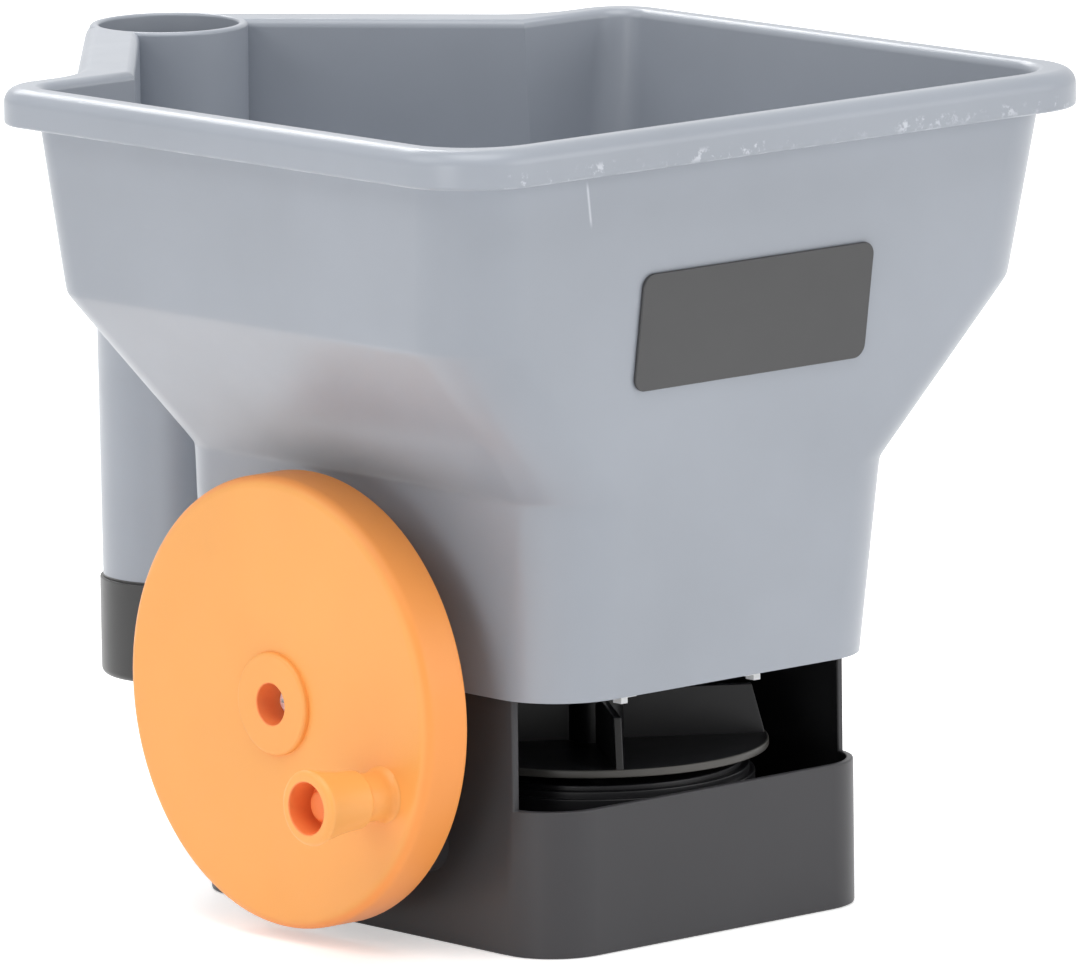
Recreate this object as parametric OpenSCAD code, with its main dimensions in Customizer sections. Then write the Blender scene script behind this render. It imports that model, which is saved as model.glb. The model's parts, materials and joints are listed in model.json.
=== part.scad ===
// Handheld seed spreader: a hopper with a handle tube over a black base.
// A crank disc drives a vaned spinner through an inside ring gear and a pair of bevel gears.
// Frame: +Z up, origin on the ground under the middle of the base, seed thrown towards -Y,
// crank disc on the -X side, handle at +Y.

/* [Hopper] */
// Height of the rim above the ground
rim_z = 210; // [200:1:220]
// Width of the rim, across the crank axis line
rim_w = 217; // [212:1:222]
// Distance from the base middle to the front of the rim
rim_front = 101; // [99:1:103]
// Distance from the base middle to the straight rear of the rim
rim_rear = 82; // [81:1:84]
// Height of the rim's outer band
rim_h = 9.5; // [8:0.5:11]
// Width of the rim from its outer face to the hopper's inside
rim_ledge = 9.8; // [9:0.1:11]
// Corner radius of the rim at the front
rim_r = 22; // [18:1:26]
// Corner radius of the rim at the rear
rim_rear_r = 15; // [13:1:18]
// Wall of the hopper
wall = 2.3; // [2:0.1:2.6]
// Height of the hopper's lower edge
hopper_z = 64.7; // [64:0.1:66]
// Height of the crease under the funnel slope
crease_z = 115; // [112:1:118]
// Height of the bend over the funnel slope
bend_z = 157.4; // [152:0.2:158]
// How softly the crease and the bend turn
crease_soft = 0.8; // [0.6:0.2:4]

/* [Handle] */
// Distance from the base middle to the handle tube's axis
tube_y = 137; // [136:1:142]
// Outer diameter of the handle tube at the rim
tube_d = 41; // [39:0.5:43]
// Height of the handle tube's lower end
tube_z = 65.5; // [62:0.5:70]
// Length of the black end cap below the tube
cap_h = 26; // [20:1:30]

/* [Badge] */
// Width of the bare plate on the front face
badge_w = 77; // [60:1:84]
// Height of the plate
badge_h = 30; // [24:1:34]
// Height of the plate's middle above the ground
badge_z = 158; // [150:1:164]
// Place of the plate's middle, off the hopper's middle
badge_x = -2; // [-4:0.5:4]

/* [Base] */
// Width of the base
base_w = 112; // [106:1:118]
// Depth of the base
base_d = 139; // [132:1:146]
// Corner radius of the base
base_r = 16; // [14:1:18]
// Wall of the base
base_wall = 2; // [1.8:0.1:2.4]
// Thickness of the base floor
base_floor = 2.5; // [2:0.1:3]
// Height of the front wall under the spreading window
tray_z = 37; // [36:0.5:38]
// How far behind the front face the side walls are cut for the window
window_cut = 13; // [11:0.5:15]

/* [Crank] */
// Height of the crank axis
crank_z = 60.4; // [60:0.1:60.6]
// Diameter of the crank disc
disc_d = 114; // [112.6:0.1:116]
// Thickness of the crank disc
disc_t = 13.8; // [12.5:0.1:14]
// Distance from the side of the base to the disc's outer face
disc_out = 28.5; // [27:0.1:29]
// Knob axis forward of the crank axis
knob_fwd = 40; // [38:1:42]
// Knob axis below the crank axis
knob_drop = 17.6; // [16:0.2:20]
// Outer diameter of the knob at its wide end
knob_d = 19; // [18:0.5:20]
// Length of the knob
knob_l = 16.4; // [15.6:0.2:18]
// Length of the neck between disc and knob
neck_l = 8.2; // [8:0.2:10]

/* [Spinner] */
// Radius of the spinner plate
spin_r = 43.5; // [41:0.5:43.5]
// Height of the spinner plate's upper face
spin_z = 43.5; // [43:0.1:44]
// Height of a vane above the plate
vane_h = 12.6; // [10:0.2:13]
// Number of vanes
vanes = 4; // [3:1:6]
// Turn of the first vane at rest
vane_turn = 236; // [0:1:360]

/* [Fits] */
// Play between tooth flanks
backlash = 0.24; // [0.2:0.02:0.34]
// Gap around the sliding gate
slide_gap = 0.4; // [0.3:0.05:0.5]
// Gap between faces that turn past each other
face_gap = 0.3; // [0.2:0.05:0.4]
// Gap around a shaft in its bore
run_gap = 0.05; // [0.04:0.01:0.1]

/* [Hidden] */
$fn = 64;
eps = 0.01;

// Colours
grey = [0.62, 0.65, 0.69];
black = [0.16, 0.16, 0.17];
orange = [0.98, 0.62, 0.28];
steel = [0.75, 0.76, 0.78];
nylon = [0.88, 0.87, 0.83];
dark = [0.3, 0.3, 0.31];

// Gear drum in the base, as far forward as its clearance lets it go, with the spinner on its axis
drum_r = 40;
drum_wall = 2;
drum_gap = 2.5;
drum_neck_r = 36.6;
drum_steps = [[drum_r, 35.5], [drum_r - 1.4, 37.2], [drum_neck_r, 38.4], [12, 39.6]];
drum_top = 38.4;
drum_ear = 3;
spin_fwd = base_d / 2 - base_wall - drum_r - drum_gap;
spin_y = -spin_fwd;

// Hopper levels and drafts, with a lower edge that stands over the base all round
lip_side = 1;
lip_front = 3.7;
lip_rear = 1;
hopper_x = base_w / 2 + lip_side;
rim_low = rim_z - rim_h;
band = rim_ledge - wall;
front_top = rim_front - band;
front_low = base_d / 2 + lip_front;
front_draft = (front_top - front_low) / (rim_low - hopper_z);
rear_top = rim_rear - band;
rear_low = base_d / 2 + lip_rear;
rear_draft = (rear_top - rear_low) / (rim_low - hopper_z);
side_top = rim_w / 2 - band;
low_draft = 0.009;
top_draft = 0.115;
crease_x = hopper_x + low_draft * (crease_z - hopper_z);
bend_x = side_top - top_draft * (rim_low - bend_z);
slope = (bend_x - crease_x) / (bend_z - crease_z);
hopper_r = 19.5;
hopper_rear_r = 11;
rear_low_r = 17;
rim_edge = 4;
floor_z = hopper_z + 2.3;
floor_t = 2.2;
wall_steps = [-3.5, -1.5, -0.5, 0.5, 1.5, 3.5] * crease_soft;
wall_zs = concat([crease_z - 25], [for (z = [crease_z, bend_z], t = wall_steps) z + t],
                 [rim_low - 20, rim_low + 3]);

// Rear pocket between the hopper and the handle tube
tube_r = tube_d / 2;
tube_taper = 0.9;
tube_wall = 2.4;
tube_band = 1.2;
pocket_band = 15.2;
pocket_x = 77.5;
pocket_ang = 49;
pocket_start = 66;
pocket_floor_z = 143;
pocket_rise = 0.5;

// Plug of the end cap, its bottom, its rounded edge and how far it stands out around the tube
plug_l = 12;
plug_t = 2.2;
cap_edge = 2;
cap_over = 0.8;

// Badge plate
badge_t = 1;
badge_r = 3.5;
badge_gap = 0.02;

// Rails and gate under the hopper floor
rail_in = 21.3;
rail_t = 2.2;
rail_hook = 3;
rail_low = floor_z - 5.6;
rail_front = 12.5 - front_low;
rail_rear = rear_low - 10.5;
gate_t = 2.4;
gate_x = rail_in - slide_gap;
gate_top = floor_z - slide_gap;
gate_low = gate_top - gate_t;
gate_travel = 18;
gate_front = rail_front + 3;
gate_rear = rear_low + 11.5;
tab_t = 3;
tab_drop = 6;
outlet_x = 12;
outlet_y0 = spin_y + 9;
outlet_y1 = outlet_y0 + 16;

// Base posts that carry the hopper
post_r = 5;
post_gap = 2.2;
post_x = base_w / 2 - base_wall - post_r - post_gap;
post_ys = [12, base_d / 2 - base_wall - post_r - post_gap - 0.5];
post_top = 60;
post_seat = 52;
boss_r = 4.5;

// Screws: shank radius, head radius and head height, and the lengths under the head
small_screw = [1.25, 2.6, 1.8];
big_screw = [1.5, 3, 2.2];
axle_screw = [1.5, 3.4, 2.4];
drum_screw_l = 9;
block_screw_l = 8;
base_screw_l = 13.5;
axle_screw_l = 12;
screw_hole = 0.2;
lug_r = 3.6;
lug_h = 9;
lug_t = 2.5;
foot_h = 7;
foot_t = 3;

// Gear train: teeth and modules that fit each other
gear_m = 1.5;
ring_n = 68;
pinion_n = 10;
bevel_n = 14;
bevel_m = 1.25;
shift = 0.4;
pressure = 20;

// Shafts
axle_r = 4;
axle_wall = 3.2;
axle_boss_x = base_w / 2 + 10;
pillar_x = base_w / 2 - 12;
pillar_w = 14.7;
shaft_r = 3;
ring_r = gear_m * ring_n / 2;
pinion_r = gear_m * pinion_n / 2;
centres = ring_r - pinion_r;
lay_z = crank_z - sqrt(centres * centres - spin_fwd * spin_fwd);
mesh_ang = atan2(lay_z - crank_z, spin_y);
web_t = 2.6;
disc_edge = 3.2;
disc_x = base_w / 2 + disc_out;
disc_back = disc_x - disc_t;
gear_depth = 7.5;
pinion_x0 = disc_back + 0.8;
pinion_x1 = disc_back + gear_depth - 0.5;
lay_boss_x = base_w / 2 + 11;
bush_r = 4.6;
bush_flange_r = 6.5;
bush_flange = 1.2;
bush_wall = 2.6;
outer_bush_l = 20;
end_float = 0.35;
pinion_hub = pinion_x0 - lay_boss_x - bush_flange - end_float;
clip_t = 1;
clip_r = 4.6;

// Crank hub, and the post that the knob turns on
hub_r = 13;
hub_boss = 1.6;
hub_hole_r = 5.2;
hub_back_r = 9;
hub_face = disc_x + hub_boss;
seat_x = hub_face - 8.8;
axle_end = seat_x + 0.2;
washer_t = 1;
rib_t = 2;
rib_reach = 31;
neck_r = 6.1;
neck_foot = 1;
snap_r = 4.7;
snap_l = 2.2;
knob_hole_r = 6.5;
knob_hole_l = 7.5;
knob_low_r = 7.4;

// Bevel pair, both of one size, with axes that cross on the spindle
bevel_r = bevel_m * bevel_n / 2;
bevel_cone = bevel_r * sqrt(2);
bevel_face = 3.6;
bevel_hub_r = 6;
bevel_hub = 3.4;
thrust_z = lay_z - bevel_r - bevel_hub - bush_flange - end_float;

// Bearing block in the drum
block_l = 8;
block_w = 16;
block_x1 = -bevel_r - bevel_hub - bush_flange - end_float;
block_x0 = block_x1 - block_l;
block_x = (block_x0 + block_x1) / 2;
block_screw_ys = [spin_y - 13, spin_y + 13];
drum_screw_angles = [45, 135, 225, 315];
function drum_screw_at(a) = [(drum_r + drum_ear) * cos(a), spin_y + (drum_r + drum_ear) * sin(a), 1];

// Spinner, spindle and agitator
plate_t = 2;
vane_t = 2;
vane_taper = 3.3;
vane_edge = 0.6;
spin_hub_r = 7;
spin_hub_top = spin_z + 11;
spindle_low = base_floor + 0.5;
spindle_top = floor_z + 17;
upper_bush_l = 3.6;
stir_z = floor_z + 6;
stir_r = 6;
stir_h = 12;
stir_arm_r = 1.8;
stir_arm_l = 20;
seal_r = 5.5;
seal_flange_r = 7.5;

// Involute tooth, half angle at radius r for a gear of pitch radius p and half tooth angle h there
function inv(a) = tan(a) - a * PI / 180;
function flank(p, h, r) =
    let (b = p * cos(pressure))
    let (a = r > b ? acos(b / r) : 0)
    h + (inv(pressure) - inv(a)) * 180 / PI;
function half_tooth(n, play) = (PI / 2 + 2 * shift * tan(pressure) + play / gear_m) / n * 180 / PI;
function tooth(p, h, r0, r1, at, steps = 4) = concat(
    [for (i = [0:steps]) let (r = r0 + (r1 - r0) * i / steps) polar(r, at - flank(p, h, r))],
    [for (i = [steps:-1:0]) let (r = r0 + (r1 - r0) * i / steps) polar(r, at + flank(p, h, r))]);
function polar(r, a) = [r * cos(a), r * sin(a)];
function gear(n, p, h, r0, r1, at) = [for (k = [0:n - 1]) each tooth(p, h, r0, r1, at + k * 360 / n)];

// Bevel tooth on the plane at the large end, from the involute of the back cone
function bevel_point(height, at, side) =
    let (v = bevel_cone)
    let (h = (PI / 2 - backlash / bevel_m) * bevel_m / 2 / v * 180 / PI)
    polar(bevel_r * tan(45 + atan(height / bevel_cone)), at + side * flank(v, h, v + height) * sqrt(2));
function bevel_tooth(at, low, high, steps = 4) = concat(
    [for (i = [0:steps]) bevel_point(low + (high - low) * i / steps, at, -1)],
    [for (i = [steps:-1:0]) bevel_point(low + (high - low) * i / steps, at, 1)]);

// Shapes that several pieces use
module along_x(x0, r, x1, y = 0, z = 0) {
    translate([x0, y, z]) rotate([0, 90, 0]) cylinder(h = x1 - x0, r = r);
}

module rounded(x, y0, y1, r) {
    translate([-x + r, y0]) square([2 * (x - r), y1 - y0]);
    translate([-x, y0 + r]) square([2 * x, y1 - y0 - 2 * r]);
    for (sx = [-1, 1], y = [y0 + r, y1 - r]) translate([sx * (x - r), y]) circle(r = r);
}

// Solid through rings of equal length, each end closed by a fan from its middle
function middle(ring) = [for (k = [0:2]) [for (p = ring) p[k]] * [for (p = ring) 1] / len(ring)];
module loft(sections) {
    n = len(sections[0]);
    m = len(sections);
    ends = [middle(sections[0]), middle(sections[m - 1])];
    polyhedron(
        points = concat([for (s = sections) each s], ends),
        faces = [for (i = [0:n - 1]) let (j = (i + 1) % n) each concat(
            [[m * n, i, j], [m * n + 1, (m - 1) * n + j, (m - 1) * n + i]],
            [for (k = [0:m - 2]) each [[k * n + j, k * n + i, (k + 1) * n + j],
                                       [k * n + i, (k + 1) * n + i, (k + 1) * n + j]]])]);
}

module cross_recess(r, depth) {
    for (a = [0, 90]) rotate([0, 0, a]) translate([-r, -r / 4, -depth]) cube([2 * r, r / 2, depth + eps]);
}

// Pan head screw with its shank along -Z and the head's seat on the plane z = 0
module pan_screw(size, length) {
    shank_r = size[0];
    head_r = size[1];
    head_h = size[2];
    difference() {
        rotate_extrude() polygon([[0, -length], [shank_r, -length], [shank_r, 0], [head_r, 0],
                                  [head_r, head_h * 0.5], [head_r * 0.7, head_h], [0, head_h]]);
        translate([0, 0, head_h]) cross_recess(head_r * 0.55, head_h * 0.5);
    }
}

module flanged_bush(r, length, flange_r, flange, bore_r) {
    rotate_extrude() polygon([[bore_r, -flange], [flange_r, -flange], [flange_r, 0], [r, 0], [r, length],
                              [bore_r, length]]);
}

// Hopper outline at a height, drawn in by an inset
function soft(t) = (t + sqrt(t * t + crease_soft * crease_soft)) / 2;
function side_x(z) =
    let (t = z - crease_z)
    let (u = z - bend_z)
    hopper_x + low_draft * (z - hopper_z) + (slope - low_draft) * soft(t) - (slope - top_draft) * soft(u);
function corner(cx, cy, r, a0) =
    [for (i = [0:8]) let (a = a0 + i * 90 / 8) [cx + r * cos(a), cy + r * sin(a)]];
function ring(x, y0, y1, r, s) = concat(corner(x - s, y1 - s, s, 0), corner(s - x, y1 - s, s, 90),
                                        corner(r - x, y0 + r, r, 180), corner(x - r, y0 + r, r, 270));
function rear_r(z) = rear_low_r + (hopper_rear_r - rear_low_r) * max(0, z - crease_z) / (rim_low - crease_z);
function hopper_ring(z, inset) =
    let (y0 = -front_low - front_draft * (z - hopper_z) + inset)
    let (y1 = rear_low + rear_draft * (z - hopper_z) - inset)
    [for (p = ring(side_x(z) - inset, y0, y1, hopper_r - inset, rear_r(z) - inset)) [p[0], p[1], z]];

// Rim outline with the two slanted runs to the handle tube, drawn in by an inset
function rim_ring(z, inset) =
    let (x = rim_w / 2 - inset)
    let (y0 = -rim_front + inset)
    let (y1 = rim_rear - inset)
    let (r = rim_r - inset)
    let (s = rim_rear_r - inset)
    let (px = pocket_x - inset * tan(pocket_ang / 2))
    let (tr = tube_r + tube_band - inset)
    [for (p = concat(corner(x - s, y1 - s, s, 0), [[px, y1]],
                     [for (a = [90 - pocket_ang:8.2:90 + pocket_ang]) [tr * cos(a), tube_y + tr * sin(a)]],
                     [[-px, y1]], corner(s - x, y1 - s, s, 90),
                     corner(r - x, y0 + r, r, 180), corner(x - r, y0 + r, r, 270))) [p[0], p[1], z]];

// Plan of the pocket between the slanted walls
module pocket_plan(inset) {
    reach = pocket_band - wall + inset;
    foot = [pocket_x - reach / sin(pocket_ang), rim_rear];
    far = (tube_y - rim_rear) / tan(pocket_ang);
    near = (rim_rear - pocket_start) / tan(pocket_ang);
    polygon([[foot[0] + near, pocket_start], [foot[0] - far, tube_y], [far - foot[0], tube_y],
             [-foot[0] - near, pocket_start]]);
}

// Side view of the pocket, with the floor that slopes down towards the hopper
module pocket_block(inset, top) {
    low = pocket_floor_z + inset * sqrt(1 + pocket_rise * pocket_rise);
    rotate([90, 0, 90]) translate([0, 0, -rim_w / 2]) linear_extrude(rim_w)
        polygon([[pocket_start, low], [rear_low, low], [tube_y, low + pocket_rise * (tube_y - rear_low)],
                 [tube_y, top], [pocket_start, top]]);
}

module hopper() {
    color(grey) difference() {
        union() {
            difference() {
                union() {
                    loft([for (z = concat([hopper_z], wall_zs)) hopper_ring(z, 0)]);
                    intersection() {
                        linear_extrude(rim_z) pocket_plan(0);
                        pocket_block(0, rim_low + 1);
                    }
                    loft(concat([rim_ring(rim_low, 0)], [for (a = [0:22.5:90])
                        rim_ring(rim_z - rim_edge * (1 - sin(a)), rim_edge * (1 - cos(a)))]));
                }
                hopper_cavity();
            }
            translate([0, tube_y, tube_z])
                cylinder(h = rim_z - tube_z, r1 = tube_r - tube_taper, r2 = tube_r);
            hopper_bosses();
            for (s = [0, 1]) mirror([s, 0, 0]) gate_rail();
        }
        translate([0, tube_y, tube_z - 1])
            cylinder(h = rim_z - tube_z + 2, r1 = tube_r - tube_taper - tube_wall, r2 = tube_r - tube_wall);
        hopper_openings();
    }
}

module hopper_cavity() {
    loft([for (z = concat([floor_z + floor_t], wall_zs, [rim_z + 1])) hopper_ring(z, wall)]);
    intersection() {
        linear_extrude(rim_z + 1) pocket_plan(wall);
        pocket_block(wall, rim_z + 1);
    }
    // Space under the floor, inside the lower edge
    translate([0, 0, hopper_z - 1]) linear_extrude(floor_z - hopper_z + 1)
        polygon(ring(hopper_x - wall, wall - front_low, rear_low - wall,
                     hopper_r - wall, rear_low_r - wall));
}

module hopper_bosses() {
    for (s = [-1, 1], y = post_ys) translate([s * post_x, y, post_top])
        cylinder(h = floor_z - post_top + 1, r = boss_r);
}

module hopper_openings() {
    for (s = [-1, 1], y = post_ys) translate([s * post_x, y, post_top - 1])
        cylinder(h = base_screw_l - post_top + post_seat + 2, r = big_screw[0]);
    translate([-outlet_x, outlet_y0, floor_z - 1]) cube([2 * outlet_x, outlet_y1 - outlet_y0, floor_t + 2]);
    translate([0, spin_y, floor_z - 1]) cylinder(h = floor_t + 2, r = seal_r);
    // Slot for the gate in the rear of the lower edge
    translate([-gate_x - slide_gap, rail_rear - 20, hopper_z - 1])
        cube([2 * (gate_x + slide_gap), 40, floor_z - hopper_z + 1]);
}

module gate_rail() {
    translate([rail_in, rail_front, rail_low])
        cube([rail_t, rail_rear - rail_front, floor_z - rail_low + 1]);
    translate([rail_in - rail_hook, rail_front, rail_low])
        cube([rail_hook + eps, rail_rear - rail_front, gate_low - slide_gap / 2 - rail_low]);
}

module handle_end_cap() {
    low_r = tube_r - tube_taper + cap_over;
    plug_r = tube_r - tube_taper - tube_wall;
    color(black) translate([0, tube_y, tube_z]) rotate_extrude() polygon(concat(
        [[0, -cap_h]],
        [for (a = [0:15:90]) [low_r - cap_edge * (1 - sin(a)), -cap_h + cap_edge * (1 - cos(a))]],
        [[low_r, 0], [plug_r, 0], [plug_r, plug_l - 1], [plug_r - 1, plug_l], [plug_r - plug_t, plug_l],
         [plug_r - plug_t, plug_t - cap_h], [0, plug_t - cap_h]]));
}

// Bare plate on the front face, leaning with it
module badge_plate() {
    y = -front_low - front_draft * (badge_z - hopper_z);
    color(dark) translate([badge_x, y, badge_z]) rotate([90 + atan(front_draft), 0, 0])
        translate([0, 0, badge_gap]) linear_extrude(badge_t)
            rounded(badge_w / 2, -badge_h / 2, badge_h / 2, badge_r);
}

module base_housing() {
    color(black) difference() {
        union() {
            base_shell();
            base_posts();
            base_bosses();
        }
        base_holes();
    }
}

module base_shell() {
    difference() {
        linear_extrude(hopper_z) rounded(base_w / 2, -base_d / 2, base_d / 2, base_r);
        translate([0, 0, base_floor]) linear_extrude(hopper_z)
            rounded(base_w / 2 - base_wall, base_wall - base_d / 2, base_d / 2 - base_wall,
                    base_r - base_wall);
        translate([-base_w, -base_d, tray_z]) cube([2 * base_w, base_d / 2 + window_cut, hopper_z]);
        translate([-gate_x - slide_gap, base_d / 2 - 2 * base_wall, gate_low - slide_gap])
            cube([2 * (gate_x + slide_gap), 4 * base_wall, hopper_z]);
    }
}

module base_posts() {
    for (s = [-1, 1], y = post_ys) translate([s * post_x, y, 0]) cylinder(h = post_top, r = post_r);
    // Pillar behind the wall that holds the crank axle
    translate([1 - base_w / 2, -pillar_w / 2, 1]) cube([base_w / 2 - pillar_x - 1, pillar_w, floor_z - 1.2]);
}

module base_bosses() {
    along_x(-axle_boss_x, axle_r + axle_wall, 1 - base_w / 2, 0, crank_z);
    along_x(-lay_boss_x, bush_r + bush_wall, 1 - lay_boss_x + outer_bush_l, spin_y, lay_z);
    translate([0, spin_y, 1]) cylinder(h = thrust_z - 1, r = bush_r + bush_wall);
    for (a = drum_screw_angles) translate(drum_screw_at(a)) cylinder(h = lug_h, r = lug_r);
    for (y = block_screw_ys) translate([block_x, y, 1]) cylinder(h = foot_h, r = lug_r);
}

module base_holes() {
    for (s = [-1, 1], y = post_ys) translate([s * post_x, y, 0]) {
        translate([0, 0, -1]) cylinder(h = post_seat + 1, r = big_screw[1] + 3 * screw_hole);
        translate([0, 0, post_seat - 1])
            cylinder(h = post_top - post_seat + 2, r = big_screw[0] + screw_hole);
    }
    along_x(-axle_boss_x - 1, axle_r, 4 - pillar_x, 0, crank_z);
    along_x(-lay_boss_x - 1, bush_r, 2 - lay_boss_x + outer_bush_l, spin_y, lay_z);
    translate([0, spin_y, base_floor]) cylinder(h = thrust_z, r = bush_r);
    for (a = drum_screw_angles) translate(drum_screw_at(a)) translate([0, 0, 1])
        cylinder(h = lug_h, r = small_screw[0]);
    for (y = block_screw_ys) translate([block_x, y, 2]) cylinder(h = foot_h, r = small_screw[0]);
    // The lower edge of the hopper passes over the axle boss
    translate([-hopper_x - 1, -pillar_w, hopper_z])
        cube([lip_side + 1 + base_wall, 2 * pillar_w, axle_r + axle_wall]);
}

module gear_drum() {
    lid = 2.4;
    way = bush_r + bush_wall + 0.4;
    color(black) difference() {
        union() {
            for (s = drum_steps) translate([0, spin_y, base_floor]) cylinder(h = s[1] - base_floor, r = s[0]);
            for (a = drum_screw_angles) translate(drum_screw_at(a)) translate([0, 0, lug_h])
                cylinder(h = lug_t, r = lug_r + 2 * screw_hole);
        }
        translate([0, spin_y, base_floor - 1])
            cylinder(h = drum_top - lid - base_floor + 1, r = drum_neck_r - drum_wall);
        translate([0, spin_y, base_floor - 1])
            cylinder(h = drum_steps[0][1] - drum_wall - base_floor + 1, r = drum_r - drum_wall);
        translate([0, spin_y, drum_top - 2 * lid]) cylinder(h = 4 * lid, r = bush_r);
        // Way in for the layshaft and its boss
        translate([-drum_r - 10, spin_y - way, base_floor - 1])
            cube([20, 2 * way, lay_z - base_floor + 1 + way]);
        for (a = drum_screw_angles) translate(drum_screw_at(a)) {
            translate([0, 0, -1]) cylinder(h = lug_h + 1, r = lug_r + screw_hole);
            translate([0, 0, lug_h - 1]) cylinder(h = lug_t + 2, r = small_screw[0] + screw_hole);
        }
    }
}

module drum_screws() {
    color(steel) for (a = drum_screw_angles) translate(drum_screw_at(a)) translate([0, 0, lug_h + lug_t])
        pan_screw(small_screw, drum_screw_l);
}

module base_screws() {
    color(steel) for (s = [-1, 1], y = post_ys) translate([s * post_x, y, post_seat]) rotate([180, 0, 0])
        pan_screw(big_screw, base_screw_l);
}

module crank_axle() {
    color(steel) difference() {
        along_x(-axle_end, axle_r, -pillar_x, 0, crank_z);
        along_x(-axle_end - 1, axle_screw[0], axle_screw_l + 2 - axle_end, 0, crank_z);
    }
}

module crank_washer() {
    color(steel) difference() {
        along_x(-axle_end - washer_t, hub_hole_r - face_gap, -axle_end, 0, crank_z);
        along_x(-axle_end - 2 * washer_t, axle_screw[0] + screw_hole / 2, washer_t - axle_end, 0, crank_z);
    }
}

module crank_screw() {
    color(steel) translate([-axle_end - washer_t, 0, crank_z]) rotate([0, -90, 0])
        pan_screw(axle_screw, axle_screw_l);
}

// Places a shape drawn about +Z on the crank axis, with +Z pointing out of the disc
module on_crank(x) {
    translate([-x, 0, crank_z]) rotate([0, -90, 0]) children();
}

module crank_disc() {
    color(orange) difference() {
        union() {
            difference() {
                on_crank(disc_back) disc_body();
                on_crank(disc_back - 1) ring_space();
            }
            on_crank(axle_boss_x + face_gap) cylinder(h = disc_x - axle_boss_x - 1, r = hub_back_r);
            on_crank(disc_back + 1) for (a = [0:60:300]) rotate([0, 0, a])
                translate([axle_r + 1, -rib_t / 2, 0]) cube([rib_reach - axle_r - 1, rib_t, disc_t - 2]);
            on_crank(disc_x - 1) rotate_extrude() polygon(concat([[0, 0], [hub_r, 0]],
                [for (a = [0:15:90]) [hub_r - 1 + cos(a), hub_boss + sin(a)]], [[0, hub_boss + 1]]));
            knob_post();
        }
        on_crank(axle_boss_x - 1) cylinder(h = seat_x - axle_boss_x + 2, r = axle_r + run_gap);
        on_crank(seat_x) cylinder(h = hub_face - seat_x + 1, r = hub_hole_r);
    }
}

module disc_body() {
    lip_r = ring_r - 1.6;
    rotate_extrude($fn = 128) polygon(concat([[0, disc_t - web_t], [lip_r, disc_t - web_t], [lip_r, 0],
        [disc_d / 2 - 0.6, 0], [disc_d / 2, 0.6]],
        [for (a = [0:15:90]) [disc_d / 2 - disc_edge * (1 - cos(a)), disc_t - disc_edge * (1 - sin(a))]],
        [[0, disc_t]]));
}

// Space cut by the ring gear's teeth, with a gap over the pinion's place
module ring_space() {
    tip = gear_m * (ring_n / 2 - 1 + shift) + 0.4;
    root = gear_m * (ring_n / 2 + 1.25 + shift);
    linear_extrude(gear_depth + 1) {
        circle(r = tip + eps, $fn = 128);
        polygon(gear(ring_n, ring_r, half_tooth(ring_n, backlash / 2), tip, root, ring_turn()));
    }
}

// The disc's own drawing plane has its first axis along +Z and its second along +Y
function plane_ang(a) = 90 - a;
function ring_turn() = plane_ang(mesh_ang);

module layshaft_pinion() {
    root = gear_m * (pinion_n / 2 - 1.25 + shift);
    tip = gear_m * (pinion_n / 2 + 1 + shift) - 0.2;
    color(nylon) translate([-pinion_x0, spin_y, lay_z]) rotate([0, -90, 0]) difference() {
        union() {
            linear_extrude(pinion_x1 - pinion_x0) polygon(gear(pinion_n, pinion_r,
                half_tooth(pinion_n, -backlash / 2), root, tip, plane_ang(mesh_ang)));
            translate([0, 0, -pinion_hub]) cylinder(h = pinion_hub + 1, r = root - 0.5);
        }
        translate([0, 0, -5]) cylinder(h = 20, r = shaft_r);
    }
}

module knob_post() {
    deep = neck_l + 1 + knob_l - knob_hole_l;
    translate([-disc_x + 1, -knob_fwd, crank_z - knob_drop]) rotate([0, -90, 0]) rotate_extrude()
        polygon([[0, 0], [neck_r + 1.1, 0], [neck_r + 1.1, neck_foot], [neck_r + 0.2, 2.4 * neck_foot],
                 [neck_r, 4 * neck_foot], [neck_r, neck_l + 1], [axle_r, neck_l + 1], [axle_r, deep + 0.7],
                 [snap_r, deep + 0.9], [snap_r, deep + 1.7], [axle_r - 0.4, deep + 0.9 + snap_l],
                 [0, deep + 0.9 + snap_l]]);
}

module crank_knob() {
    r = knob_d / 2;
    soft_edge = 1.5;
    bore = axle_r + run_gap;
    deep = knob_l - knob_hole_l;
    flare = knob_l - soft_edge - 0.8;
    color(orange) translate([-disc_x - neck_l - face_gap / 2, -knob_fwd, crank_z - knob_drop])
        rotate([0, -90, 0]) rotate_extrude() polygon(concat([[bore, 0], [knob_low_r - 0.8, 0]],
            [for (t = [0:0.125:0.9]) [knob_low_r + (r - knob_low_r) * t * t, 0.8 + flare * t]],
            [for (a = [0:15:90]) [r - soft_edge * (1 - cos(a)), knob_l - soft_edge * (1 - sin(a))]],
            [[knob_hole_r, knob_l], [knob_hole_r - 0.3, deep], [bore, deep]]));
}

module layshaft() {
    color(steel) along_x(-pinion_x1 - 1.5 * clip_t, shaft_r, bevel_face - bevel_r, spin_y, lay_z);
}

module layshaft_clip() {
    color(steel) difference() {
        along_x(-pinion_x1 - clip_t, clip_r, -pinion_x1, spin_y, lay_z);
        along_x(-pinion_x1 - 2 * clip_t, shaft_r, clip_t - pinion_x1, spin_y, lay_z);
    }
}

module layshaft_outer_bush() {
    color(nylon) translate([-lay_boss_x, spin_y, lay_z]) rotate([0, 90, 0])
        flanged_bush(bush_r, outer_bush_l, bush_flange_r, bush_flange, shaft_r + run_gap);
}

module layshaft_inner_bush() {
    color(nylon) translate([block_x1, spin_y, lay_z]) rotate([0, -90, 0])
        flanged_bush(bush_r, block_x1 - block_x0, bush_flange_r, bush_flange, shaft_r + run_gap);
}

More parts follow.
